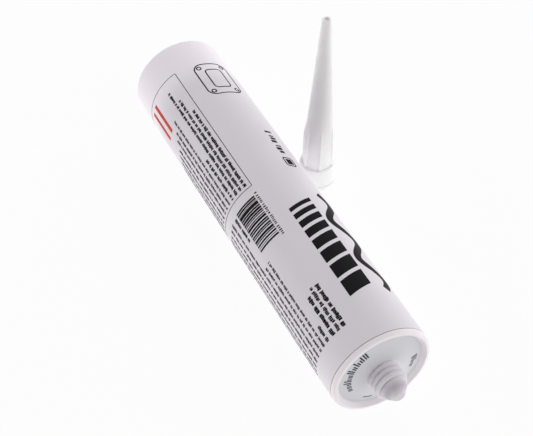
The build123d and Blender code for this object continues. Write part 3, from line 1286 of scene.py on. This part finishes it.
def soft_box(tree, ray, middle, core, edge, light):
    """Light of a round soft box, full up to one angle from its middle and gone at another."""
    facing = add_node(tree, "ShaderNodeVectorMath", {0: ray, 1: middle}, operation="DOT_PRODUCT")
    return add_node(tree, "ShaderNodeMapRange", {
        "Value": facing.outputs["Value"],
        "From Min": math.cos(edge),
        "From Max": math.cos(core),
        "To Max": light,
    }, interpolation_type="SMOOTHSTEP").outputs["Result"]


def studio_sky(stage):
    """Light of two soft boxes in a dim room, behind a background that looks white."""
    world = bpy.data.worlds.new("white_studio")
    world.use_nodes = True
    tree = world.node_tree
    tree.nodes.clear()
    ray = add_node(tree, "ShaderNodeTexCoord").outputs["Generated"]
    right_middle = direction_of(stage.right_azimuth, stage.right_elevation)
    right = soft_box(tree, ray, right_middle, stage.right_core, stage.right_edge, stage.right_box)
    left_middle = direction_of(stage.left_azimuth, stage.left_elevation)
    left = soft_box(tree, ray, left_middle, stage.left_core, stage.left_edge, stage.left_box)
    boxes = add_node(tree, "ShaderNodeMath", {0: right, 1: left}, operation="ADD").outputs["Value"]
    light = add_node(tree, "ShaderNodeMath", {0: boxes, 1: stage.room_light}, operation="ADD")
    shown = add_node(tree, "ShaderNodeMix", {
        "Factor": shown_plain(tree),
        "A": light.outputs["Value"],
        "B": 1.0,
    }, data_type="FLOAT")
    sky = add_node(tree, "ShaderNodeBackground", {
        "Color": rgba(stage.floor_colour),
        "Strength": shown.outputs["Result"],
    })
    output = add_node(tree, "ShaderNodeOutputWorld")
    tree.links.new(sky.outputs["Background"], output.inputs["Surface"])
    return world


# Camera target, and the back lamp that draws a faint line of gloss along the barrel
CAMERA_TARGET = Vector((-19.03 * MM, 3.354 * MM, 25.0 * MM))
BACK_LAMP_DISTANCE = 1.2
BACK_LAMP_PLACE = Vector((-0.257, 0.621, 0.741)) * BACK_LAMP_DISTANCE
BACK_LAMP_SIZE = 0.12


class CARTRIDGE_OT_stage(bpy.types.Operator):
    """Sets the white floor, the soft studio light and the camera"""

    bl_idname = "cartridge.set_stage"
    bl_label = "Set stage"

    def execute(self, context):
        scene = context.scene
        stage = scene.cartridge_stage
        self.lay_floor(scene, stage)
        self.aim_camera(scene, stage)
        self.hang_back_lamp(scene, stage)
        scene.world = studio_sky(stage)
        scene.view_settings.view_transform = "Standard"
        return {"FINISHED"}

    def lay_floor(self, scene, stage):
        """Large square under the set."""
        bm = bmesh.new()
        bmesh.ops.create_grid(bm, x_segments=1, y_segments=1, size=stage.floor_size / 2)
        mesh = bpy.data.meshes.new("floor")
        bm.to_mesh(mesh)
        bm.free()
        mesh.materials.append(white_floor(stage))
        floor = bpy.data.objects.new("floor", mesh)
        scene.collection.objects.link(floor)

    def aim_camera(self, scene, stage):
        """Camera at its distance from the target, turned about its own axis by its roll."""
        towards = direction_of(stage.camera_azimuth, stage.camera_elevation)
        lens = bpy.data.cameras.new("camera")
        lens.lens = stage.camera_lens
        lens.sensor_fit = "HORIZONTAL"
        lens.clip_start = stage.camera_distance / 100
        camera = bpy.data.objects.new("camera", lens)
        camera.rotation_mode = "QUATERNION"
        roll = Quaternion((0, 0, 1), stage.camera_roll)
        camera.rotation_quaternion = towards.to_track_quat("Z", "Y") @ roll
        camera.location = CAMERA_TARGET + towards * stage.camera_distance
        scene.collection.objects.link(camera)
        scene.camera = camera

    def hang_back_lamp(self, scene, stage):
        """Small lamp behind the set that looks at its middle."""
        lamp = bpy.data.lights.new("back_lamp", "AREA")
        lamp.energy = stage.back_lamp
        lamp.size = BACK_LAMP_SIZE
        back = bpy.data.objects.new("back_lamp", lamp)
        back.location = BACK_LAMP_PLACE
        back.rotation_mode = "QUATERNION"
        back.rotation_quaternion = BACK_LAMP_PLACE.to_track_quat("Z", "Y")
        back.visible_camera = False
        scene.collection.objects.link(back)


class CARTRIDGE_PT_panel(bpy.types.Panel):
    """Sidebar panel that makes the pieces and shows their settings"""

    bl_idname = "CARTRIDGE_PT_panel"
    bl_label = "Sealant cartridge"
    bl_space_type = "VIEW_3D"
    bl_region_type = "UI"
    bl_category = "Cartridge"

    def draw(self, context):
        for operator in OPERATORS:
            self.layout.operator(operator.bl_idname)
        for name, group in SETTINGS.items():
            box = self.layout.box()
            box.label(text=group.__doc__)
            for setting in group.__annotations__:
                box.prop(getattr(context.scene, name), setting)


SETTINGS = {
    "cartridge_barrel": CartridgeBarrelSettings,
    "cartridge_nozzle": CartridgeNozzleSettings,
    "cartridge_fill": CartridgeFillSettings,
    "cartridge_print": CartridgePrintSettings,
    "cartridge_stage": CartridgeStageSettings,
}
OPERATORS = [
    CARTRIDGE_OT_barrel,
    CARTRIDGE_OT_nozzle,
    CARTRIDGE_OT_piston,
    CARTRIDGE_OT_fill,
    CARTRIDGE_OT_print,
    CARTRIDGE_OT_head_marks,
    CARTRIDGE_OT_stage,
]


def register():
    """Registers the settings, the operators and the panel."""
    for name, group in SETTINGS.items():
        bpy.utils.register_class(group)
        setattr(bpy.types.Scene, name, PointerProperty(type=group))
    for operator in OPERATORS:
        bpy.utils.register_class(operator)
    bpy.utils.register_class(CARTRIDGE_PT_panel)


def unregister():
    """Takes them back in the other order."""
    bpy.utils.unregister_class(CARTRIDGE_PT_panel)
    for operator in reversed(OPERATORS):
        bpy.utils.unregister_class(operator)
    for name, group in reversed(SETTINGS.items()):
        delattr(bpy.types.Scene, name)
        bpy.utils.unregister_class(group)


def main():
    """Makes the pieces and the stage."""
    register()
    bpy.ops.cartridge.make_barrel()
    bpy.ops.cartridge.make_nozzle()
    bpy.ops.cartridge.finish_piston()
    bpy.ops.cartridge.make_fill()
    bpy.ops.cartridge.print_barrel()
    bpy.ops.cartridge.mark_head()
    bpy.ops.cartridge.set_stage()


if __name__ == "__main__":
    main()
